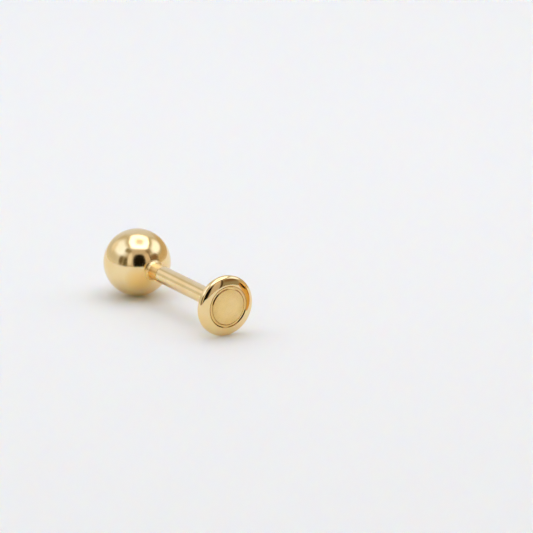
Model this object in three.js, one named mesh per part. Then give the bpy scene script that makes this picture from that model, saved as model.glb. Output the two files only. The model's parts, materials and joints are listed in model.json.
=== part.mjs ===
import * as THREE from "three";

// A ball stud earring in polished yellow gold, lying on a table as it does when it isn't worn.
// The ball end unscrews from the post, so that the post can go through the ear. Millimetres, +Z up.
//
// Both pieces are turned about one axis. Stations are distances along it from the ball's centre,
// and they grow towards the disc.

// Facets round the axis. The corners between them lie at the true radius.
const FACETS = 64;

// Ball end
const BALL_DIAMETER = 4.0;
const BALL_STEPS = 24;
const NECK_SOLDER = 0.25;
const NECK_DIAMETER = 0.94;
const NECK_END_DIAMETER = 1.02;
const NECK_END_STATION = 2.95;
const PIN_DIAMETER = 0.64;
const PIN_LENGTH = 2.6;
const PIN_CHAMFER = 0.1;

// Post
const POST_DIAMETER = 1.02;
const SEAM_GAP = 0.02;
const BORE_CLEARANCE = 0.03;
const BORE_SPARE_DEPTH = 0.2;
const BORE_MOUTH_CHAMFER = 0.05;
const SOLDER_FILLET = 0.14;
const FILLET_STEPS = 4;

// Disc
const DISC_DIAMETER = 3.54;
const RIM_STATION = 9.7;
const RIM_WALL = 0.1;
const RIM_EDGE = 0.05;
const RIM_ROUND = 0.25;
const RIM_ROUND_STEPS = 4;
const SHOULDER_RADIUS = 1.3;
const SHOULDER_START_DIAMETER = 2.16;
const SHOULDER_STEPS = 4;
const RING_DIAMETER = 2.26;
const RING_WIDTH = 0.2;
const RING_DEPTH = 0.05;

// The small edge that both pieces have at the seam
const SMALL_EDGE = 0.04;

const BALL_RADIUS = BALL_DIAMETER / 2;
const NECK_RADIUS = NECK_DIAMETER / 2;
const NECK_END_RADIUS = NECK_END_DIAMETER / 2;
const PIN_RADIUS = PIN_DIAMETER / 2;
const PIN_TIP_STATION = NECK_END_STATION + PIN_LENGTH;
const POST_RADIUS = POST_DIAMETER / 2;
const POST_END_STATION = NECK_END_STATION + SEAM_GAP;
const BORE_RADIUS = PIN_RADIUS + BORE_CLEARANCE;
const BORE_FLOOR_STATION = PIN_TIP_STATION + BORE_SPARE_DEPTH;
const DISC_RADIUS = DISC_DIAMETER / 2;
const RIM_FRONT_STATION = RIM_STATION + RIM_WALL / 2;
const RIM_BACK_STATION = RIM_STATION - RIM_WALL / 2;
const DISC_BACK_STATION = RIM_BACK_STATION - RIM_EDGE;
const SHOULDER_START_RADIUS = SHOULDER_START_DIAMETER / 2;
const RING_RADIUS = RING_DIAMETER / 2;

const polishedGold = () =>
  new THREE.MeshStandardMaterial({ color: 0xe2b763, roughness: 0.12, metalness: 1 });

const at = (radius, station) => new THREE.Vector2(radius, station);

// Points on an arc. Angles are measured from the direction of growing radius, towards growing
// stations.
function arc(centreRadius, centreStation, radius, from, to, steps) {
  return Array.from({ length: steps + 1 }, (_, i) => {
    const angle = from + ((to - from) * i) / steps;
    return at(centreRadius + radius * Math.cos(angle), centreStation + radius * Math.sin(angle));
  });
}

// A solid turned about the axis. A corner, not a facet, is lowest once the stud is laid.
function turned(name, profile) {
  const mesh = new THREE.Mesh(new THREE.LatheGeometry(profile, FACETS), polishedGold());
  mesh.name = name;
  return mesh;
}

// The ball, from its far pole to the solder round the neck
function ballProfile(solderAngle) {
  const far = arc(0, 0, BALL_RADIUS, -Math.PI / 2, 0, BALL_STEPS / 2);
  const near = arc(0, 0, BALL_RADIUS, 0, solderAngle, BALL_STEPS / 2 - 1);
  far[0].x = 0;
  return [...far, ...near.slice(1)];
}

// Solder runs from the ball onto the neck, which widens a little to the seam. The pin stands on
// the neck's end.
function ballFrontProfile() {
  const solderRadius = NECK_RADIUS + NECK_SOLDER;
  const solderStation = Math.sqrt((BALL_RADIUS + NECK_SOLDER) ** 2 - solderRadius ** 2);
  const solderAngle = Math.atan2(solderStation, solderRadius);
  const solder = arc(
    solderRadius, solderStation, NECK_SOLDER, Math.PI + solderAngle, Math.PI, FILLET_STEPS);
  return [
    ...ballProfile(solderAngle),
    ...solder.slice(1),
    at(NECK_END_RADIUS, NECK_END_STATION - SMALL_EDGE),
    at(NECK_END_RADIUS - SMALL_EDGE, NECK_END_STATION),
    at(PIN_RADIUS, NECK_END_STATION),
    at(PIN_RADIUS, PIN_TIP_STATION - PIN_CHAMFER),
    at(PIN_RADIUS - PIN_CHAMFER, PIN_TIP_STATION),
    at(0, PIN_TIP_STATION),
  ];
}

// The bore, from its pointed floor out to the post's end
function boreProfile() {
  return [
    at(0, BORE_FLOOR_STATION + BORE_RADIUS / 2),
    at(BORE_RADIUS, BORE_FLOOR_STATION),
    at(BORE_RADIUS, POST_END_STATION + BORE_MOUTH_CHAMFER),
    at(BORE_RADIUS + BORE_MOUTH_CHAMFER, POST_END_STATION),
  ];
}

// The post's outside and the fillet of solder at the disc
function postProfile() {
  const filletCentre = POST_RADIUS + SOLDER_FILLET;
  const filletStation = DISC_BACK_STATION - SOLDER_FILLET;
  return [
    at(POST_RADIUS - SMALL_EDGE, POST_END_STATION),
    at(POST_RADIUS, POST_END_STATION + SMALL_EDGE),
    ...arc(filletCentre, filletStation, SOLDER_FILLET, Math.PI, Math.PI / 2, FILLET_STEPS),
  ];
}

// The disc: a flat back, a thin rim, a shoulder, and an engraved ring round a flat field. The
// shoulder starts to fall away under the ring, and turns down more tightly at the rim.
function discProfile() {
  const roundRadius = DISC_RADIUS - RIM_ROUND;
  const between = SHOULDER_RADIUS - RIM_ROUND;
  const atRound = Math.acos((roundRadius - SHOULDER_START_RADIUS) / between);
  const shoulderStation = RIM_FRONT_STATION - between * Math.sin(atRound);
  const faceStation = shoulderStation + SHOULDER_RADIUS;
  const ringEdge = RING_RADIUS + RING_WIDTH / 2;
  const atRing = Math.acos((ringEdge - SHOULDER_START_RADIUS) / SHOULDER_RADIUS);
  const shoulder = arc(
    SHOULDER_START_RADIUS, shoulderStation, SHOULDER_RADIUS, atRound, atRing, SHOULDER_STEPS);
  return [
    at(DISC_RADIUS - RIM_EDGE, DISC_BACK_STATION),
    at(DISC_RADIUS, RIM_BACK_STATION),
    ...arc(roundRadius, RIM_FRONT_STATION, RIM_ROUND, 0, atRound, RIM_ROUND_STEPS),
    ...shoulder.slice(1),
    at(RING_RADIUS, faceStation - RING_DEPTH),
    at(RING_RADIUS - RING_WIDTH / 2, faceStation),
    at(0, faceStation),
  ];
}

// The stud rests on the ball and on the front edge of the disc's rim, so its axis leans by the
// angle at which a line touches both.
function restingTilt() {
  const reach = Math.hypot(RIM_FRONT_STATION, DISC_RADIUS);
  return Math.asin(BALL_RADIUS / reach) - Math.atan2(DISC_RADIUS, RIM_FRONT_STATION);
}

const ballFront = turned("ball_front", ballFrontProfile());
const discBack = turned("disc_back", [...boreProfile(), ...postProfile(), ...discProfile()]);

// The disc faces -Y, and the origin is on the table, below the middle of the stud.
const stud = new THREE.Group();
stud.add(ballFront, discBack);
stud.rotation.x = Math.PI + restingTilt();

const part = new THREE.Group();
part.add(stud);
const laid = new THREE.Box3().setFromObject(part, true);
stud.position.y = -(laid.min.y + laid.max.y) / 2;
stud.position.z = -laid.min.z;

export default part;
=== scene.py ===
"""A ball stud earring in polished 14 karat yellow gold, lying on a pale table in a light tent.

The ball end unscrews from a tube post, which is soldered to a small domed disc with an engraved
ring.
"""

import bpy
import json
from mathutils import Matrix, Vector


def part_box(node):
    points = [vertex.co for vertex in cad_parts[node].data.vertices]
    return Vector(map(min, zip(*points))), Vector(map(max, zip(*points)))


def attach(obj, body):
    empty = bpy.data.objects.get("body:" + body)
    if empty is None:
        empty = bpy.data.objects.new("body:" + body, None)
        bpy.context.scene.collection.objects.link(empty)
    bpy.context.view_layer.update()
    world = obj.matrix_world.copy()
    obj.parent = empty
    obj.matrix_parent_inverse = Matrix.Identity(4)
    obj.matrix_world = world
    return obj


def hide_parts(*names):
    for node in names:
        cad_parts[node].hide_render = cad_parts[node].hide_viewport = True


bl_info = {
    "name": "Ball Stud Earring",
    "version": (1, 0, 0),
    "blender": (4, 5, 0),
    "location": "3D View > Sidebar > Ball Stud",
    "description": "Models the earring's turned pieces, its pin and a small light tent",
    "category": "Add Mesh",
}

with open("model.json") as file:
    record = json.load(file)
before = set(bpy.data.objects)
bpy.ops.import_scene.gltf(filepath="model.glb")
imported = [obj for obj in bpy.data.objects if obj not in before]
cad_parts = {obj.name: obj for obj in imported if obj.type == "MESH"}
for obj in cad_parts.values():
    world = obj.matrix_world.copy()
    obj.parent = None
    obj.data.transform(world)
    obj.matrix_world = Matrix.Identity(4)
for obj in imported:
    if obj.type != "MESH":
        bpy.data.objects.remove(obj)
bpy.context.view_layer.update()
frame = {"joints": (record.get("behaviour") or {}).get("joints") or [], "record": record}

import json
import math
from collections import namedtuple

import bpy
from bpy.props import FloatProperty, FloatVectorProperty, IntProperty, PointerProperty
from bpy.types import Operator, Panel, PropertyGroup
from mathutils import Vector

MM = 0.001
TINY = 1e-7

BALL_LOW, BALL_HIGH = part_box("ball_front")
DISC_LOW, DISC_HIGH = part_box("disc_back")
MOUNTS = {mount["name"]: mount for mount in frame["record"]["mounts"]}
JOINTS = {joint["name"]: joint for joint in frame["joints"]}

BALL_RADIUS = (BALL_HIGH.x - BALL_LOW.x) / 2
DISC_RADIUS = (DISC_HIGH.x - DISC_LOW.x) / 2

# The ball touches the table and is the stud's far end. The axis runs from its centre to the disc,
# and stations are distances along it from there.
BALL_CENTRE = Vector((0, BALL_HIGH.y - BALL_RADIUS, BALL_RADIUS))
STUD_AXIS = -Vector(JOINTS["ball_unscrew"]["axis"]).normalized()
FACE_STATION = (Vector(MOUNTS["disc_face"]["pos_m"]) - BALL_CENTRE).dot(STUD_AXIS)
DISC_BACK_STATION = (Vector(MOUNTS["ear_seat"]["pos_m"]) - BALL_CENTRE).dot(STUD_AXIS)

# Shapes too small to be worth changing
SMOOTH_ANGLE = math.radians(35)
NECK_BUFFING = 0.02 * MM
DISC_BUFFING = 0.012 * MM
POST_CHAMFER = 0.05 * MM
PIN_SINK = 0.02 * MM
PIN_NOSE = 0.12 * MM
PIN_NOSE_SHARE = 0.62
THREAD_CREST_SHARE = 0.25
THREAD_STEPS = 64
THREAD_SMOOTH_ANGLE = math.radians(30)

Ring = namedtuple("Ring", "radius station")
Glow = namedtuple("Glow", "name across along width height edge colour strength")


def linear(hex_colour):
    """An sRGB hex colour as linear red, green, blue and alpha."""
    parts = [int(hex_colour[i : i + 2], 16) / 255 for i in (1, 3, 5)]
    return (*[c / 12.92 if c <= 0.04045 else ((c + 0.055) / 1.055) ** 2.4 for c in parts], 1)


# Sizes and colours that a user would change


class EarringSizes(PropertyGroup):
    round_steps: IntProperty(
        name="Round Steps", description="Faces round each turned piece", default=192, min=24
    )
    ball_diameter: FloatProperty(
        name="Ball", description="Diameter of the ball", default=2 * BALL_RADIUS, unit="LENGTH"
    )
    neck_solder: FloatProperty(
        name="Neck Solder", description="Radius of the solder between the ball and its neck",
        default=0.25 * MM, unit="LENGTH",
    )
    neck_diameter: FloatProperty(
        name="Neck", description="Diameter of the neck at the solder",
        default=0.94 * MM, unit="LENGTH",
    )
    neck_end_diameter: FloatProperty(
        name="Neck End", description="Diameter of the neck at the seam",
        default=1.02 * MM, unit="LENGTH",
    )
    seam_station: FloatProperty(
        name="Seam", description="Distance of the seam from the ball's centre",
        default=2.95 * MM, unit="LENGTH",
    )
    seam_gap: FloatProperty(
        name="Seam Gap", description="Width of the seam", default=0.02 * MM, unit="LENGTH"
    )
    pin_diameter: FloatProperty(
        name="Pin", description="Diameter over the pin's thread", default=0.64 * MM, unit="LENGTH"
    )
    pin_length: FloatProperty(
        name="Pin Length", description="Length of the pin beyond the neck",
        default=2.6 * MM, unit="LENGTH",
    )
    thread_pitch: FloatProperty(
        name="Thread Pitch", description="Travel of the thread in one turn",
        default=0.2 * MM, unit="LENGTH",
    )
    thread_depth: FloatProperty(
        name="Thread Depth", description="Depth of the thread", default=0.06 * MM, unit="LENGTH"
    )
    post_diameter: FloatProperty(
        name="Post", description="Outside diameter of the tube post",
        default=1.02 * MM, unit="LENGTH",
    )
    bore_diameter: FloatProperty(
        name="Bore", description="Diameter of the post's bore", default=0.7 * MM, unit="LENGTH"
    )
    bore_depth: FloatProperty(
        name="Bore Depth", description="Depth of the post's bore", default=2.78 * MM, unit="LENGTH"
    )
    post_solder: FloatProperty(
        name="Post Solder", description="Radius of the solder between the post and the disc",
        default=0.14 * MM, unit="LENGTH",
    )
    disc_diameter: FloatProperty(
        name="Disc", description="Diameter of the disc", default=2 * DISC_RADIUS, unit="LENGTH"
    )
    rim_edge: FloatProperty(
        name="Rim Edge", description="Rounding of the rim at the disc's back",
        default=0.05 * MM, unit="LENGTH",
    )
    rim_wall: FloatProperty(
        name="Rim Wall", description="Height of the rim's straight wall",
        default=0.1 * MM, unit="LENGTH",
    )
    rim_round: FloatProperty(
        name="Rim Round", description="Radius by which the shoulder turns down to the rim",
        default=0.25 * MM, unit="LENGTH",
    )
    shoulder: FloatProperty(
        name="Shoulder", description="Radius of the disc's rounded shoulder",
        default=1.3 * MM, unit="LENGTH",
    )
    shoulder_start: FloatProperty(
        name="Shoulder Start", description="Diameter at which the shoulder starts to fall away",
        default=2.16 * MM, unit="LENGTH",
    )
    ring_diameter: FloatProperty(
        name="Ring", description="Diameter of the engraved ring", default=2.26 * MM, unit="LENGTH"
    )
    ring_width: FloatProperty(
        name="Ring Width", description="Width of the engraved ring",
        default=0.2 * MM, unit="LENGTH",
    )
    ring_wall: FloatProperty(
        name="Ring Wall", description="Width of each slanting wall of the engraved ring",
        default=0.06 * MM, unit="LENGTH",
    )
    ring_depth: FloatProperty(
        name="Ring Depth", description="Depth of the engraved ring",
        default=0.05 * MM, unit="LENGTH",
    )


class GoldColours(PropertyGroup):
    gold: FloatVectorProperty(
        name="Gold", description="Colour of the 14 karat yellow gold", subtype="COLOR",
        default=linear("#F8DFAC")[:3], min=0, max=1,
    )
    warm_gold: FloatVectorProperty(
        name="Warm Gold", description="Colour where the gold has a thin warm tarnish",
        subtype="COLOR", default=linear("#EFCB7C")[:3], min=0, max=1,
    )
    # Painted shade: a warmer, more orange gold laid where shade falls, below the ball's neck and
    # on one side of the neck's solder
    heat_gold: FloatVectorProperty(
        name="Painted Shade Gold", description="Colour of the gold that soldering has warmed",
        subtype="COLOR", default=linear("#F6CD80")[:3], min=0, max=1,
    )
    solder: FloatVectorProperty(
        name="Solder", description="Colour of the paler hard solder", subtype="COLOR",
        default=linear("#F4DCA8")[:3], min=0, max=1,
    )
    # Residue and painted shade: brown laid in random patches over the field, and as painted shade
    # near the engraved ring and on its walls
    residue: FloatVectorProperty(
        name="Residue and Painted Shade", description="Colour of polishing compound left in corners",
        subtype="COLOR", default=linear("#A8702A")[:3], min=0, max=1,
    )


# Modelling, done on a bench frame: +Z is the stud's axis and the ball's centre is at the origin


def start_modelling():
    if bpy.context.object and bpy.context.object.mode != "OBJECT":
        bpy.ops.object.mode_set(mode="OBJECT")
    bpy.ops.object.select_all(action="DESELECT")


def arc(centre_radius, centre_station, radius, start, end, steps):
    """Rings on an arc. Angles run from growing radius towards growing stations."""
    angles = [start + (end - start) * i / steps for i in range(steps + 1)]
    return [
        Ring(centre_radius + radius * math.cos(a), centre_station + radius * math.sin(a))
        for a in angles
    ]


def extrude_ring(before, after):
    """Extrudes the selected ring from one ring of the profile to the next."""
    bpy.ops.mesh.extrude_region_move(
        TRANSFORM_OT_translate={"value": (0, 0, after.station - before.station)}
    )
    ratio = after.radius / before.radius
    bpy.ops.transform.resize(value=(ratio, ratio, 1), center_override=(0, 0, after.station))


def turn(name, profile, steps):
    """A turned piece: a round blank whose end is extruded from ring to ring of its profile."""
    start_modelling()
    bpy.ops.mesh.primitive_circle_add(
        vertices=steps, radius=profile[0].radius, location=(0, 0, profile[0].station),
        fill_type="TRIFAN",
    )
    piece = bpy.context.object
    piece.name = name
    bpy.ops.object.transform_apply(location=True, rotation=True, scale=True)
    bpy.ops.object.mode_set(mode="EDIT")
    bpy.ops.mesh.select_all(action="SELECT")
    for before, after in zip(profile, profile[1:]):
        extrude_ring(before, after)
    return piece


def buffed(profile, radius, steps=4):
    """The profile with its sharp corners rounded, and rings beside them that keep it flat."""
    soft_bend = math.radians(20)
    most_of_side = 0.4
    guard = 1.3
    rings = [profile[0]]
    for before, corner, after in zip(profile, profile[1:], profile[2:]):
        here = Vector(corner)
        back = Vector(before) - here
        onward = Vector(after) - here
        room_back, room_onward = back.length, onward.length
        bend = math.pi - back.angle(onward)
        if bend < soft_bend:
            rings.append(corner)
            continue
        setback = min(radius * math.tan(bend / 2), most_of_side * min(room_back, room_onward))
        back.normalize()
        onward.normalize()
        if 2 * setback < room_back:
            rings.append(Ring(*(here + back * guard * setback)))
        for i in range(steps + 1):
            t = i / steps
            pull = (1 - t) ** 2 * back + t**2 * onward
            rings.append(Ring(*(here + pull * setback)))
        if 2 * setback < room_onward:
            rings.append(Ring(*(here + onward * guard * setback)))
    rings.append(profile[-1])
    return rings


def pick(piece, test):
    """In edit mode, selects the vertices that pass the test and the edges between them."""
    bpy.ops.object.mode_set(mode="OBJECT")
    for vertex in piece.data.vertices:
        vertex.select = test(vertex.co)
    for edge in piece.data.edges:
        edge.select = all(piece.data.vertices[i].select for i in edge.vertices)
    bpy.ops.object.mode_set(mode="EDIT")


def close_and_face_outward():
    bpy.ops.mesh.select_all(action="SELECT")
    bpy.ops.mesh.remove_doubles(threshold=TINY)
    bpy.ops.mesh.normals_make_consistent(inside=False)
    bpy.ops.object.mode_set(mode="OBJECT")


def finish_surfaces(piece, finish_at):
    """Gives each face the material that its radius and station ask for."""
    piece.data.materials.clear()
    slots = {}
    for face in piece.data.polygons:
        material = finish_at(Ring(face.center.xy.length, face.center.z))
        if material.name not in slots:
            slots[material.name] = len(slots)
            piece.data.materials.append(material)
        face.material_index = slots[material.name]


def lay_on_table(piece):
    """Lays a finished piece from the bench to its place in the stud."""
    piece.rotation_mode = "QUATERNION"
    piece.rotation_quaternion = Vector((0, 0, 1)).rotation_difference(STUD_AXIS)
    piece.location = BALL_CENTRE
    bpy.ops.object.transform_apply(location=True, rotation=True, scale=True)


def neck_profile(sizes):
    """The solder and the neck, from the ball's surface to the foot of the pin."""
    ball = sizes.ball_diameter / 2
    solder = sizes.neck_solder
    middle = sizes.neck_diameter / 2 + solder
    station = math.sqrt((ball + solder) ** 2 - middle**2)
    start = math.pi + math.atan2(station, middle)
    return [
        *arc(middle, station, solder, start, math.pi, steps=12),
        Ring(sizes.neck_end_diameter / 2, sizes.seam_station),
        Ring(sizes.pin_diameter / 2, sizes.seam_station),
    ]


class BALLSTUD_OT_ball_end(Operator):
    """Models the ball with its soldered neck"""

    bl_idname = "ball_stud.ball_end"
    bl_label = "Ball and Neck"

    def execute(self, context):
        sizes = context.scene.ball_stud_sizes
        colours = context.scene.ball_stud_colours
        profile = neck_profile(sizes)
        start_modelling()
        bpy.ops.mesh.primitive_uv_sphere_add(
            segments=sizes.round_steps, ring_count=sizes.round_steps // 2,
            radius=sizes.ball_diameter / 2,
        )
        piece = context.object
        piece.name = "ball_and_neck"
        bpy.ops.object.mode_set(mode="EDIT")
        bpy.ops.mesh.select_all(action="SELECT")
        bpy.ops.mesh.bisect(
            plane_co=(0, 0, profile[0].station), plane_no=(0, 0, 1), clear_outer=True,
            threshold=TINY,
        )
        rings = buffed(profile, NECK_BUFFING)
        for before, after in zip(rings, rings[1:]):
            extrude_ring(before, after)
        bpy.ops.mesh.edge_face_add()
        bpy.ops.mesh.poke()
        close_and_face_outward()
        bpy.ops.object.shade_smooth_by_angle(angle=SMOOTH_ANGLE)

        ball = tumbled_ball_gold(colours)
        solder = hard_solder(colours)

        def finish_at(place):
            return ball if place.station < profile[0].station else solder

        finish_surfaces(piece, finish_at)
        lay_on_table(piece)
        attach(piece, "front")
        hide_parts("ball_front")
        return {"FINISHED"}


class BALLSTUD_OT_pin(Operator):
    """Models the threaded pin on the neck's end"""

    bl_idname = "ball_stud.pin"
    bl_label = "Threaded Pin"

    def execute(self, context):
        sizes = context.scene.ball_stud_sizes
        crest = sizes.pin_diameter / 2
        middle = crest - sizes.thread_depth / 2
        pitch = sizes.thread_pitch
        seat = sizes.seam_station - PIN_SINK
        tip = sizes.seam_station + sizes.pin_length
        nose = tip - PIN_NOSE
        first_tooth = seat - pitch

        # One tooth: three sides of an upright quad, wide at the root and narrow at the crest
        start_modelling()
        bpy.ops.mesh.primitive_plane_add(size=pitch)
        piece = context.object
        piece.name = "threaded_pin"
        bpy.ops.object.mode_set(mode="EDIT")
        bpy.ops.mesh.select_all(action="SELECT")
        bpy.ops.transform.rotate(value=math.pi / 2, orient_axis="X", center_override=(0, 0, 0))
        bpy.ops.transform.resize(
            value=(sizes.thread_depth / pitch, 1, 1), center_override=(0, 0, 0)
        )
        bpy.ops.transform.translate(value=(middle, 0, first_tooth))
        bpy.ops.mesh.delete(type="ONLY_FACE")
        pick(piece, lambda corner: corner.x > middle)
        bpy.ops.transform.resize(
            value=(1, 1, THREAD_CREST_SHARE), center_override=(crest, 0, first_tooth)
        )
        pick(piece, lambda corner: corner.x < middle)
        bpy.ops.mesh.delete(type="EDGE")
        bpy.ops.object.mode_set(mode="OBJECT")

        screw = piece.modifiers.new("thread", "SCREW")
        screw.axis = "Z"
        screw.angle = 2 * math.pi
        screw.screw_offset = pitch
        screw.iterations = math.ceil((tip - seat) / pitch) + 2
        screw.steps = THREAD_STEPS
        screw.render_steps = THREAD_STEPS
        screw.use_merge_vertices = True
        screw.merge_threshold = TINY
        bpy.ops.object.modifier_apply(modifier=screw.name)

        # Both ends are cut square and filled, and the tip is drawn in to a nose
        bpy.ops.object.mode_set(mode="EDIT")
        bpy.ops.mesh.select_all(action="SELECT")
        bpy.ops.mesh.remove_doubles(threshold=TINY)
        for station, way in ((seat, -1), (nose, 1)):
            bpy.ops.mesh.select_all(action="SELECT")
            bpy.ops.mesh.bisect(
                plane_co=(0, 0, station), plane_no=(0, 0, way), clear_outer=True, use_fill=True,
                threshold=TINY,
            )
        bpy.ops.mesh.extrude_region_move(TRANSFORM_OT_translate={"value": (0, 0, PIN_NOSE)})
        bpy.ops.transform.resize(
            value=(PIN_NOSE_SHARE, PIN_NOSE_SHARE, 1), center_override=(0, 0, tip)
        )
        close_and_face_outward()
        bpy.ops.object.shade_smooth_by_angle(angle=THREAD_SMOOTH_ANGLE)
        piece.data.materials.append(die_cut_gold(context.scene.ball_stud_colours))
        lay_on_table(piece)
        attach(piece, "front")
        return {"FINISHED"}


def post_profile(sizes):
    """The bore from near its floor's point to its mouth, the post, and the solder at the disc."""
    post = sizes.post_diameter / 2
    bore = sizes.bore_diameter / 2
    mouth = sizes.seam_station + sizes.seam_gap
    floor = mouth + sizes.bore_depth
    solder = sizes.post_solder
    solder_middle = DISC_BACK_STATION - solder
    return [
        Ring(bore / 20, floor + bore / 2),
        Ring(bore, floor),
        Ring(bore, mouth + POST_CHAMFER),
        Ring(bore + POST_CHAMFER, mouth),
        Ring(post - POST_CHAMFER / 2, mouth),
        Ring(post, mouth + POST_CHAMFER / 2),
        *arc(post + solder, solder_middle, solder, math.pi, math.pi / 2, steps=10),
    ]


def disc_profile(sizes):
    """The rim, the shoulder, the engraved ring, and the flat field as far as half way in."""
    disc = sizes.disc_diameter / 2
    edge = sizes.rim_edge
    back_edge = arc(disc - edge, DISC_BACK_STATION + edge, edge, -math.pi / 2, 0, steps=6)
    rim_front = DISC_BACK_STATION + edge + sizes.rim_wall

    start = sizes.shoulder_start / 2
    centre = FACE_STATION - sizes.shoulder
    at_round = math.acos((disc - sizes.rim_round - start) / (sizes.shoulder - sizes.rim_round))
    outer_edge = (sizes.ring_diameter + sizes.ring_width) / 2
    inner_edge = (sizes.ring_diameter - sizes.ring_width) / 2
    at_ring = math.acos((outer_edge - start) / sizes.shoulder)
    rim_round = arc(disc - sizes.rim_round, rim_front, sizes.rim_round, 0, at_round, steps=14)
    shoulder = arc(start, centre, sizes.shoulder, at_round, at_ring, steps=20)
    ring_floor = FACE_STATION - sizes.ring_depth
    return [
        *back_edge,
        *rim_round,
        *shoulder[1:],
        Ring(outer_edge - sizes.ring_wall, ring_floor),
        Ring(inner_edge + sizes.ring_wall, ring_floor),
        Ring(inner_edge, FACE_STATION),
        Ring(inner_edge / 2, FACE_STATION),
    ]


class BALLSTUD_OT_disc_and_post(Operator):
    """Models the domed disc with its engraved ring and the tube post"""

    bl_idname = "ball_stud.disc_and_post"
    bl_label = "Disc and Post"

    def execute(self, context):
        sizes = context.scene.ball_stud_sizes
        colours = context.scene.ball_stud_colours
        profile = buffed([*post_profile(sizes), *disc_profile(sizes)], DISC_BUFFING)
        piece = turn("disc_and_post", profile, sizes.round_steps)
        bpy.ops.mesh.edge_face_add()
        bpy.ops.mesh.poke()
        close_and_face_outward()
        bpy.ops.object.shade_smooth_by_angle(angle=SMOOTH_ANGLE)

        bore = drilled_bore_gold(colours)
        tube = drawn_tube_gold(colours)
        solder = hard_solder(colours)
        disc = spun_disc_gold(colours)
        ring = graver_cut_gold(colours)
        field = stoned_field_gold(colours)
        wall_middle = (sizes.post_diameter + sizes.bore_diameter) / 4
        solder_start = DISC_BACK_STATION - sizes.post_solder
        # The ring's finish runs a little past its edges, over their rounding
        past_edge = 0.01 * MM
        ring_low = (sizes.ring_diameter - sizes.ring_width) / 2 - past_edge
        ring_high = (sizes.ring_diameter + sizes.ring_width) / 2 + past_edge
        face_side = FACE_STATION - 2 * sizes.ring_depth

        def finish_at(place):
            if place.station < solder_start:
                return tube if place.radius > wall_middle else bore
            if place.station < DISC_BACK_STATION - TINY:
                return solder
            if place.station < face_side or place.radius > ring_high:
                return disc
            return ring if place.radius > ring_low else field

        finish_surfaces(piece, finish_at)
        lay_on_table(piece)
        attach(piece, "back")
        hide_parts("disc_back")
        return {"FINISHED"}


# Materials

# The side of the stud, on the bench, where a painted shade makes the gold more orange
FLAME_SIDE = Vector((-0.42, -0.28, 0))


def add(tree, kind, settings=None, inputs=None):
    """Adds a node with its settings, input values and links from other nodes' sockets."""
    node = tree.nodes.new(kind)
    for name, value in (settings or {}).items():
        setattr(node, name, value)
    for socket, value in (inputs or {}).items():
        if isinstance(value, bpy.types.NodeSocket):
            tree.links.new(value, node.inputs[socket])
        else:
            node.inputs[socket].default_value = value
    return node


def new_material(name):
    material = bpy.data.materials.new(name)
    material.use_nodes = True
    material.node_tree.nodes.clear()
    return material, material.node_tree


def new_finish(name):
    """A new material for the gold, its node tree, and where each point lies on the bench."""
    material, tree = new_material(name)
    place = add(tree, "ShaderNodeTexCoord").outputs["Object"]
    lean = Vector((0, 0, 1)).rotation_difference(STUD_AXIS).to_euler()
    bench = add(
        tree, "ShaderNodeMapping", {"vector_type": "TEXTURE"},
        {"Vector": place, "Location": BALL_CENTRE, "Rotation": lean},
    )
    return material, tree, bench.outputs["Vector"]


def radius_and_station(tree, place):
    """A point's distance from the stud's axis and its station."""
    parts = add(tree, "ShaderNodeSeparateXYZ", inputs={0: place})
    flat = add(
        tree, "ShaderNodeCombineXYZ", inputs={0: parts.outputs["X"], 1: parts.outputs["Y"]}
    )
    radius = add(tree, "ShaderNodeVectorMath", {"operation": "LENGTH"}, {0: flat.outputs[0]})
    return radius.outputs["Value"], parts.outputs["Z"]


def streaks(tree, place, width, length, turned=(0, 0, 0)):
    """Lines along the bench's Z, as heights from 0 to 1, with their width and length in metres."""
    stretched = add(
        tree, "ShaderNodeMapping",
        inputs={"Vector": place, "Rotation": turned,
                "Scale": (1 / width, 1 / width, 1 / length)},
    )
    return add(
        tree, "ShaderNodeTexNoise",
        inputs={"Vector": stretched.outputs["Vector"], "Scale": 1, "Detail": 3},
    ).outputs["Fac"]


def rings(tree, place, width):
    """Lines round the stud's axis, as heights from 0 to 1. They fade in and out on their way."""
    radius, station = radius_and_station(tree, place)
    parts = add(tree, "ShaderNodeSeparateXYZ", inputs={0: place})
    drift = add(
        tree, "ShaderNodeMath", {"operation": "MULTIPLY"}, {0: parts.outputs["X"], 1: 0.03}
    )
    across = add(
        tree, "ShaderNodeCombineXYZ", inputs={0: radius, 1: station, 2: drift.outputs[0]}
    )
    return add(
        tree, "ShaderNodeTexNoise",
        inputs={"Vector": across.outputs[0], "Scale": 1 / width, "Detail": 3},
    ).outputs["Fac"]


def hairlines(tree, place, turned):
    """Thin scratches in one plane, as heights from 0 to 1.

    Real ones are 2 or 3 microns wide. They are drawn 0.02 mm wide, or they would not show.
    """
    length, width = 1.4 * MM, 0.02 * MM
    slanted = add(
        tree, "ShaderNodeMapping",
        inputs={"Vector": place, "Rotation": turned,
                "Scale": (1 / length, 1 / length, 1 / width)},
    )
    noise = add(
        tree, "ShaderNodeTexNoise",
        inputs={"Vector": slanted.outputs["Vector"], "Scale": 1, "Detail": 1},
    )
    return add(
        tree, "ShaderNodeMapRange",
        inputs={"Value": noise.outputs["Fac"], "From Min": 0.66, "From Max": 0.74},
    ).outputs["Result"]


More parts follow.
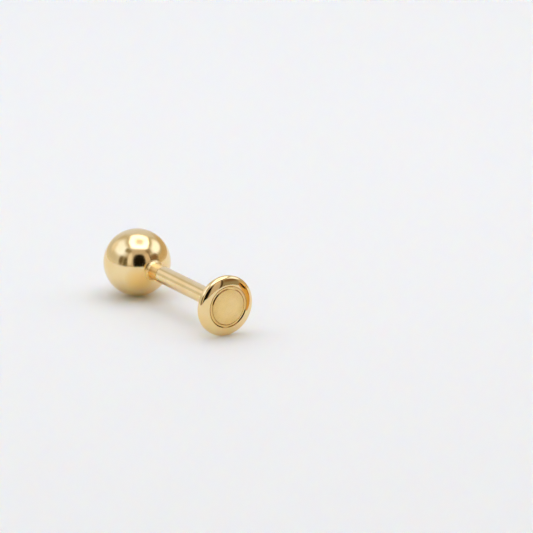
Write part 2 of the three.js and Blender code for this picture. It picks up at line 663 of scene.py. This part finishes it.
def gold_shader(
    tree, place, colours, height, depth, polish, tarnish=(0, 0.5), wave_depth=0.0015 * MM,
    gold=None,
):
    """The shader that all the gold finishes share.

    The colour drifts a little between clean gold and a thin warm tarnish, in patches. The tool's
    marks are cut to their depth and dull the polish, from its best roughness to its worst, and
    long waves bend the reflections.
    """
    patch, wave_length = 1.6 * MM, 0.9 * MM
    drift = add(
        tree, "ShaderNodeTexNoise", inputs={"Vector": place, "Scale": 1 / patch, "Detail": 4}
    )
    share = add(
        tree, "ShaderNodeMapRange",
        inputs={"Value": drift.outputs["Fac"], "From Min": 0.4, "From Max": 0.7,
                "To Min": tarnish[0], "To Max": tarnish[1]},
    )
    colour = add(
        tree, "ShaderNodeMix", {"data_type": "RGBA"},
        {0: share.outputs["Result"], 6: (*(gold or colours.gold), 1), 7: (*colours.warm_gold, 1)},
    )
    rough = add(
        tree, "ShaderNodeMapRange",
        inputs={"Value": height, "From Min": 0.3, "From Max": 0.8,
                "To Min": polish[0], "To Max": polish[1]},
    )
    waves = add(
        tree, "ShaderNodeTexNoise", inputs={"Vector": place, "Scale": 1 / wave_length, "Detail": 1}
    )
    swell = add(
        tree, "ShaderNodeBump",
        inputs={"Height": waves.outputs["Fac"], "Strength": 1, "Distance": wave_depth},
    )
    cut = add(
        tree, "ShaderNodeBump", {"invert": True},
        {"Height": height, "Strength": 1, "Distance": depth, "Normal": swell.outputs["Normal"]},
    )
    shader = add(
        tree, "ShaderNodeBsdfPrincipled",
        inputs={"Base Color": colour.outputs[2], "Metallic": 1,
                "Roughness": rough.outputs["Result"], "Normal": cut.outputs["Normal"]},
    )
    add(tree, "ShaderNodeOutputMaterial", inputs={"Surface": shader.outputs["BSDF"]})
    return shader


def stain(tree, shader, share, colour):
    """Covers a share of the gold, from 0 to 1, with another colour."""
    clean = shader.inputs["Base Color"].links[0].from_socket
    mix = add(
        tree, "ShaderNodeMix", {"data_type": "RGBA"}, {0: share, 6: clean, 7: (*colour, 1)}
    )
    tree.links.new(mix.outputs[2], shader.inputs["Base Color"])


def flame_warmth(tree, place, way, start, end):
    """How much painted shade the gold takes: from 0 at the start to 1 at the end of a way."""
    onward = add(
        tree, "ShaderNodeVectorMath", {"operation": "DOT_PRODUCT"}, {0: place, 1: way.normalized()}
    )
    return add(
        tree, "ShaderNodeMapRange",
        inputs={"Value": onward.outputs["Value"], "From Min": start, "From Max": end},
    ).outputs["Result"]


def tumbled_ball_gold(colours):
    """A ball, tumbled and buffed: a mirror with a little haze and a few crossing hairlines.

    Below the neck it is painted more orange, a painted warm shade.
    """
    material, tree, place = new_finish("14k yellow gold ball, tumbled and buffed")
    scratches = [
        hairlines(tree, place, [math.radians(angle) for angle in turned])
        for turned in ((62, 18, 0), (-48, 35, 20), (15, -70, 40))
    ]
    both = add(
        tree, "ShaderNodeMath", {"operation": "MAXIMUM"}, {0: scratches[0], 1: scratches[1]}
    )
    height = add(
        tree, "ShaderNodeMath", {"operation": "MAXIMUM"}, {0: both.outputs[0], 1: scratches[2]}
    )
    shader = gold_shader(
        tree, place, colours, height.outputs[0], depth=0.0002 * MM, polish=(0.12, 0.18)
    )
    # Painted shade: the gold below the neck turns to the painted shade colour
    below_neck = FLAME_SIDE + Vector((0, 0, 0.86))
    warmth = flame_warmth(tree, place, below_neck, 0.89 * BALL_RADIUS, BALL_RADIUS)
    stain(tree, shader, warmth, colours.heat_gold)
    return material


def drawn_tube_gold(colours):
    """Tube drawn through a die and buffed along its length: long soft streaks."""
    material, tree, place = new_finish("14k yellow gold tube, drawn and buffed")
    height = streaks(tree, place, width=0.09 * MM, length=5 * MM)
    gold_shader(tree, place, colours, height, depth=0.0012 * MM, polish=(0.06, 0.12))
    return material


def spun_disc_gold(colours):
    """Disc turned and buffed on a lathe: a mirror with very faint rings."""
    material, tree, place = new_finish("14k yellow gold disc, turned and buffed")
    height = rings(tree, place, width=0.05 * MM)
    gold_shader(
        tree, place, colours, height, depth=0.0004 * MM, polish=(0.035, 0.08), tarnish=(0.1, 0.6),
        wave_depth=0.001 * MM,
    )
    return material


def stoned_field_gold(colours):
    """Flat field, rubbed with a fine stone before the last buffing: short lines one way.

    Brown lies over it in random patches, and a painted shade darkens it towards the ring.
    """
    material, tree, place = new_finish("14k yellow gold field, stoned and buffed")
    across_field = (math.pi / 2, 0, math.radians(25))
    height = streaks(tree, place, width=0.03 * MM, length=0.7 * MM, turned=across_field)
    shader = gold_shader(
        tree, place, colours, height, depth=0.0008 * MM, polish=(0.1, 0.26), tarnish=(0.5, 1),
        wave_depth=0.004 * MM,
    )
    radius = radius_and_station(tree, place)[0]
    speck = 0.3 * MM
    dirt = add(
        tree, "ShaderNodeTexNoise", inputs={"Vector": place, "Scale": 1 / speck, "Detail": 4}
    )
    # Painted shade: the brown grows from the middle of the field towards the ring
    near_ring = add(
        tree, "ShaderNodeMapRange",
        inputs={"Value": radius, "From Min": 0.6 * MM, "From Max": 1.03 * MM,
                "To Min": 0.1, "To Max": 0.45},
    )
    share = add(
        tree, "ShaderNodeMath", {"operation": "MULTIPLY"},
        {0: dirt.outputs["Fac"], 1: near_ring.outputs["Result"]},
    )
    stain(tree, shader, share.outputs[0], colours.residue)
    return material


def graver_cut_gold(colours):
    """Ring cut by a graver: a bright floor with fine chatter and a little brown, and painted shade
    on its walls.
    """
    material, tree, place = new_finish("14k yellow gold, cut by a graver")
    height = rings(tree, place, width=0.03 * MM)
    shader = gold_shader(
        tree, place, colours, height, depth=0.001 * MM, polish=(0.1, 0.22), tarnish=(0.4, 1)
    )
    sizes = bpy.context.scene.ball_stud_sizes
    radius = radius_and_station(tree, place)[0]
    off = add(
        tree, "ShaderNodeMath", {"operation": "SUBTRACT"}, {0: radius, 1: sizes.ring_diameter / 2}
    )
    distance = add(tree, "ShaderNodeMath", {"operation": "ABSOLUTE"}, {0: off.outputs[0]})
    # Painted shade: the ring's walls darken to brown, and its floor a little
    share = add(
        tree, "ShaderNodeMapRange",
        inputs={"Value": distance.outputs[0], "From Min": sizes.ring_width / 2 - sizes.ring_wall,
                "From Max": sizes.ring_width / 2, "To Min": 0.2, "To Max": 0.9},
    )
    stain(tree, shader, share.outputs["Result"], colours.residue)
    return material


def drilled_bore_gold(colours):
    """Drilled bore: rough rings left by the drill."""
    material, tree, place = new_finish("14k yellow gold, drilled")
    height = rings(tree, place, width=0.04 * MM)
    gold_shader(tree, place, colours, height, depth=0.003 * MM, polish=(0.25, 0.45))
    return material


def hard_solder(colours):
    """Hard gold solder, pickled and lightly buffed: a little paler and duller, with soft pits.

    It is painted more orange on one side, a painted warm shade.
    """
    material, tree, place = new_finish("hard gold solder, pickled and lightly buffed")
    pit = 0.12 * MM
    pits = add(
        tree, "ShaderNodeTexNoise", inputs={"Vector": place, "Scale": 1 / pit, "Detail": 3}
    )
    shader = gold_shader(
        tree, place, colours, pits.outputs["Fac"], depth=0.0001 * MM, polish=(0.3, 0.4),
        gold=colours.solder,
    )
    # Painted shade: one side of the solder turns to the painted shade colour
    warmth = flame_warmth(tree, place, FLAME_SIDE, 0, 0.4 * MM)
    stain(tree, shader, warmth, colours.heat_gold)
    return material


def die_cut_gold(colours):
    """Thread cut by a die: chatter along the flanks."""
    material, tree, place = new_finish("14k yellow gold thread, cut by a die")
    height = streaks(tree, place, width=0.03 * MM, length=0.12 * MM)
    gold_shader(tree, place, colours, height, depth=0.002 * MM, polish=(0.15, 0.35))
    return material


# Stage

VIEW_AZIMUTH = math.radians(-32.95)

# What shines or stays dark round the stud. Later ones lie over earlier ones. On the walls, across
# and along are azimuth and elevation in degrees. Azimuths are measured from the camera's side,
# positive to its right.
WALL_GLOWS = (
    Glow("left wall", -98, 2, 116, 60, 0.2, "#D3D0CA", 1.0),
    Glow("right wall", 115, 2, 104, 56, 0.2, "#C9B28C", 1.0),
    Glow("left wall's foot", -112, -6, 120, 20, 0.8, "#E4DFD6", 1.0),
    Glow("right wall's foot", 112, -6, 100, 16, 0.8, "#DCCDB8", 1.0),
    Glow("front curtain", 5, 26, 124, 66, 0.12, "#C8BAAC", 1.0),
    Glow("left panel's frame", -95, 46, 116, 46, 0.16, "#CCC5B8", 1.0),
    Glow("left panel", -88, 42, 76, 33, 0.4, "#E0EAFF", 1.5),
    Glow("left panel's lower end", -121, 28, 26, 20, 0.6, "#F4F1F2", 1.0),
    Glow("right panel's frame", 104, 38, 84, 40, 0.16, "#BDB49F", 1.0),
    Glow("right panel", 105, 37, 62, 24, 0.4, "#E6EDFF", 1.6),
    Glow("olive corner", -43, 50, 34, 14, 0.4, "#948A70", 1.0),
    Glow("brown corner", 57, 45, 26, 14, 0.4, "#9C8A72", 1.0),
    Glow("left room", -48, 13, 34, 32, 0.3, "#A0977E", 1.0),
    Glow("dark left room, far", -58, 16, 14, 22, 0.5, "#74664E", 1.0),
    Glow("dark left room, near", -40, 12, 14, 30, 0.4, "#6A6048", 1.0),
    Glow("light bar", -25, 25, 15, 38, 0.35, "#F1E9DE", 1.0),
    Glow("light fold", 44, 29, 20, 24, 0.5, "#DCC8B6", 1.0),
    Glow("right room", 69, 12, 32, 38, 0.2, "#99907C", 1.0),
    Glow("dark right room", 71, 21, 28, 16, 0.5, "#84674C", 1.0),
    Glow("curtain's slit", 54, 20, 4, 58, 0.5, "#503F30", 1.0),
    Glow("lens", 10, 19, 45, 47, 0.12, "#1A150A", 0.8),
)
# On the roof, across and along run to the camera's right and away from it, in heights of the roof.
ROOF_GLOWS = (
    Glow("roof light", 0.15, 0.06, 1.12, 1.14, 0.2, "#F4F5FF", 2.42),
    Glow("roof lamp's cap", 0.12, 0.0, 0.38, 0.44, 0.5, "#FAF4F4", 1.05),
)
TENT_RADIUS = 300 * MM
TENT_WALL = "#DEE1EC"
ROOM = "#F2F2F2"

TABLE_RADIUS = 125 * MM
TABLE_WHITE = "#F3F5F0"
TABLE_BLEED = 2.2 * MM

# The gold card is as large as the disc, stands to its right and is turned to it
CARD_PLACE = Vector((3.8, -8.3, 1.77)) * MM
CARD_TURN = math.radians(-66)
CARD_THICKNESS = 0.4 * MM
CARD_ROUNDING = 0.15 * MM
CARD_GOLD = "#EAB75C"

CAMERA_PLACE = Vector((-94.87, -156.365, 55.19)) * MM
CAMERA_AIM = Vector((9.688, 4.942, 0)) * MM
CAMERA_LENS = 221.3
CAMERA_SENSOR = 36


def lay_glow(tree, colour, across, along, glow):
    """Lays one glow, with rounded corners and a soft edge, over the tent's colours so far."""
    total = None
    for socket, middle, size in (
        (across, glow.across, glow.width), (along, glow.along, glow.height),
    ):
        off = add(tree, "ShaderNodeMath", {"operation": "SUBTRACT"}, {0: socket, 1: middle})
        share = add(
            tree, "ShaderNodeMath", {"operation": "DIVIDE"}, {0: off.outputs[0], 1: size / 2}
        )
        flat = add(tree, "ShaderNodeMath", {"operation": "ABSOLUTE"}, {0: share.outputs[0]})
        cube = add(tree, "ShaderNodeMath", {"operation": "POWER"}, {0: flat.outputs[0], 1: 3})
        total = cube.outputs[0] if total is None else add(
            tree, "ShaderNodeMath", {"operation": "ADD"}, {0: total, 1: cube.outputs[0]}
        ).outputs[0]
    reach = add(tree, "ShaderNodeMath", {"operation": "POWER"}, {0: total, 1: 1 / 3})
    mask = add(
        tree, "ShaderNodeMapRange", {"interpolation_type": "SMOOTHSTEP"},
        {"Value": reach.outputs[0], "From Min": 1 + glow.edge, "From Max": 1 - glow.edge,
         "To Min": 0, "To Max": 1},
    )
    shade = [c * glow.strength for c in linear(glow.colour)[:3]]
    return add(
        tree, "ShaderNodeMix", {"data_type": "RGBA"},
        {0: mask.outputs["Result"], 6: colour, 7: (*shade, 1)},
    ).outputs[2]


def tent_material():
    """White tent cloth lit from outside, with brighter lights and a dark opening for the lens."""
    material, tree = new_material("white nylon tent, lit from outside")
    place = add(tree, "ShaderNodeTexCoord").outputs["Object"]
    way = add(tree, "ShaderNodeVectorMath", {"operation": "NORMALIZE"}, {0: place})
    facing = add(
        tree, "ShaderNodeMapping",
        inputs={"Vector": way.outputs["Vector"], "Rotation": (0, 0, -VIEW_AZIMUTH)},
    )
    parts = add(tree, "ShaderNodeSeparateXYZ", inputs={0: facing.outputs["Vector"]})
    right, back, up = parts.outputs
    front = add(tree, "ShaderNodeMath", {"operation": "MULTIPLY"}, {0: back, 1: -1})
    azimuth = add(
        tree, "ShaderNodeMath", {"operation": "ARCTAN2"}, {0: right, 1: front.outputs[0]}
    )
    elevation = add(tree, "ShaderNodeMath", {"operation": "ARCSINE"}, {0: up})
    height = add(tree, "ShaderNodeMath", {"operation": "MAXIMUM"}, {0: up, 1: 0.05})
    wall_place = [
        add(tree, "ShaderNodeMath", {"operation": "DEGREES"}, {0: angle.outputs[0]}).outputs[0]
        for angle in (azimuth, elevation)
    ]
    roof_place = [
        add(tree, "ShaderNodeMath", {"operation": "DIVIDE"}, {0: side, 1: height.outputs[0]})
        .outputs[0]
        for side in (right, back)
    ]
    colour = linear(TENT_WALL)
    for glow in ROOF_GLOWS:
        colour = lay_glow(tree, colour, *roof_place, glow)
    for glow in WALL_GLOWS:
        colour = lay_glow(tree, colour, *wall_place, glow)
    shine = add(tree, "ShaderNodeEmission", inputs={"Color": colour, "Strength": 1})
    add(tree, "ShaderNodeOutputMaterial", inputs={"Surface": shine.outputs[0]})
    return material


class BALLSTUD_OT_stage(Operator):
    """Sets up the table, the light tent and the camera"""

    bl_idname = "ball_stud.stage"
    bl_label = "Table, Tent and Camera"

    def execute(self, context):
        self.add_table(context)
        self.add_tent(context)
        self.add_gold_card(context)
        self.add_camera(context)
        context.scene.view_settings.view_transform = "Standard"
        return {"FINISHED"}

    def add_table(self, context):
        """Adds the table. Light goes a little way into the acrylic, so its shadows are soft."""
        start_modelling()
        bpy.ops.mesh.primitive_circle_add(
            vertices=96, radius=TABLE_RADIUS, fill_type="NGON", location=(0, 0, -TINY)
        )
        table = context.object
        table.name = "table"
        material, tree = new_material("white acrylic, matt")
        shader = add(
            tree, "ShaderNodeBsdfPrincipled",
            inputs={"Base Color": linear(TABLE_WHITE), "Roughness": 0.7,
                    "Subsurface Weight": 1, "Subsurface Radius": (1, 0.8, 0.6),
                    "Subsurface Scale": TABLE_BLEED},
        )
        add(tree, "ShaderNodeOutputMaterial", inputs={"Surface": shader.outputs["BSDF"]})
        table.data.materials.append(material)

    def add_tent(self, context):
        """Adds the light tent, which the camera looks through, and the pale room behind it."""
        start_modelling()
        bpy.ops.mesh.primitive_uv_sphere_add(segments=64, ring_count=32, radius=TENT_RADIUS)
        tent = context.object
        tent.name = "tent"
        bpy.ops.object.mode_set(mode="EDIT")
        bpy.ops.mesh.select_all(action="SELECT")
        bpy.ops.mesh.flip_normals()
        bpy.ops.object.mode_set(mode="OBJECT")
        bpy.ops.object.shade_smooth()
        tent.data.materials.append(tent_material())
        tent.visible_camera = False

        world = bpy.data.worlds.new("pale room")
        world.use_nodes = True
        world.node_tree.nodes["Background"].inputs["Color"].default_value = linear(ROOM)
        context.scene.world = world

    def add_gold_card(self, context):
        """Adds a round gold card to the disc's right. Only reflections see it."""
        start_modelling()
        bpy.ops.mesh.primitive_cylinder_add(
            vertices=96, radius=DISC_RADIUS, depth=CARD_THICKNESS, location=CARD_PLACE,
            rotation=(math.pi / 2, 0, CARD_TURN),
        )
        card = context.object
        card.name = "gold_card"
        bevel = card.modifiers.new("rounding", "BEVEL")
        bevel.width = CARD_ROUNDING
        bevel.segments = 4
        bpy.ops.object.modifier_apply(modifier=bevel.name)
        bpy.ops.object.shade_smooth()
        material, tree = new_material("gold reflector card, polished")
        shader = add(
            tree, "ShaderNodeBsdfPrincipled",
            inputs={"Base Color": linear(CARD_GOLD), "Metallic": 1, "Roughness": 0.08},
        )
        add(tree, "ShaderNodeOutputMaterial", inputs={"Surface": shader.outputs["BSDF"]})
        card.data.materials.append(material)
        card.visible_camera = False
        card.visible_shadow = False
        card.visible_diffuse = False

    def add_camera(self, context):
        bpy.ops.object.camera_add(location=CAMERA_PLACE)
        camera = context.object
        camera.data.lens = CAMERA_LENS
        camera.data.sensor_width = CAMERA_SENSOR
        camera.data.clip_start = 1 * MM
        camera.data.clip_end = 10
        camera.rotation_mode = "QUATERNION"
        camera.rotation_quaternion = (CAMERA_AIM - CAMERA_PLACE).to_track_quat("-Z", "Y")
        context.scene.camera = camera


class BALLSTUD_PT_panel(Panel):
    bl_label = "Ball Stud"
    bl_idname = "BALLSTUD_PT_panel"
    bl_space_type = "VIEW_3D"
    bl_region_type = "UI"
    bl_category = "Ball Stud"

    def draw(self, context):
        for operator in OPERATORS:
            self.layout.operator(operator.bl_idname)


OPERATORS = (
    BALLSTUD_OT_ball_end,
    BALLSTUD_OT_pin,
    BALLSTUD_OT_disc_and_post,
    BALLSTUD_OT_stage,
)
CLASSES = (EarringSizes, GoldColours, *OPERATORS, BALLSTUD_PT_panel)


def register():
    for cls in CLASSES:
        bpy.utils.register_class(cls)
    bpy.types.Scene.ball_stud_sizes = PointerProperty(type=EarringSizes)
    bpy.types.Scene.ball_stud_colours = PointerProperty(type=GoldColours)


def unregister():
    del bpy.types.Scene.ball_stud_colours
    del bpy.types.Scene.ball_stud_sizes
    for cls in reversed(CLASSES):
        bpy.utils.unregister_class(cls)


def main():
    register()
    bpy.ops.ball_stud.ball_end()
    bpy.ops.ball_stud.pin()
    bpy.ops.ball_stud.disc_and_post()
    bpy.ops.ball_stud.stage()


if __name__ == "__main__":
    main()
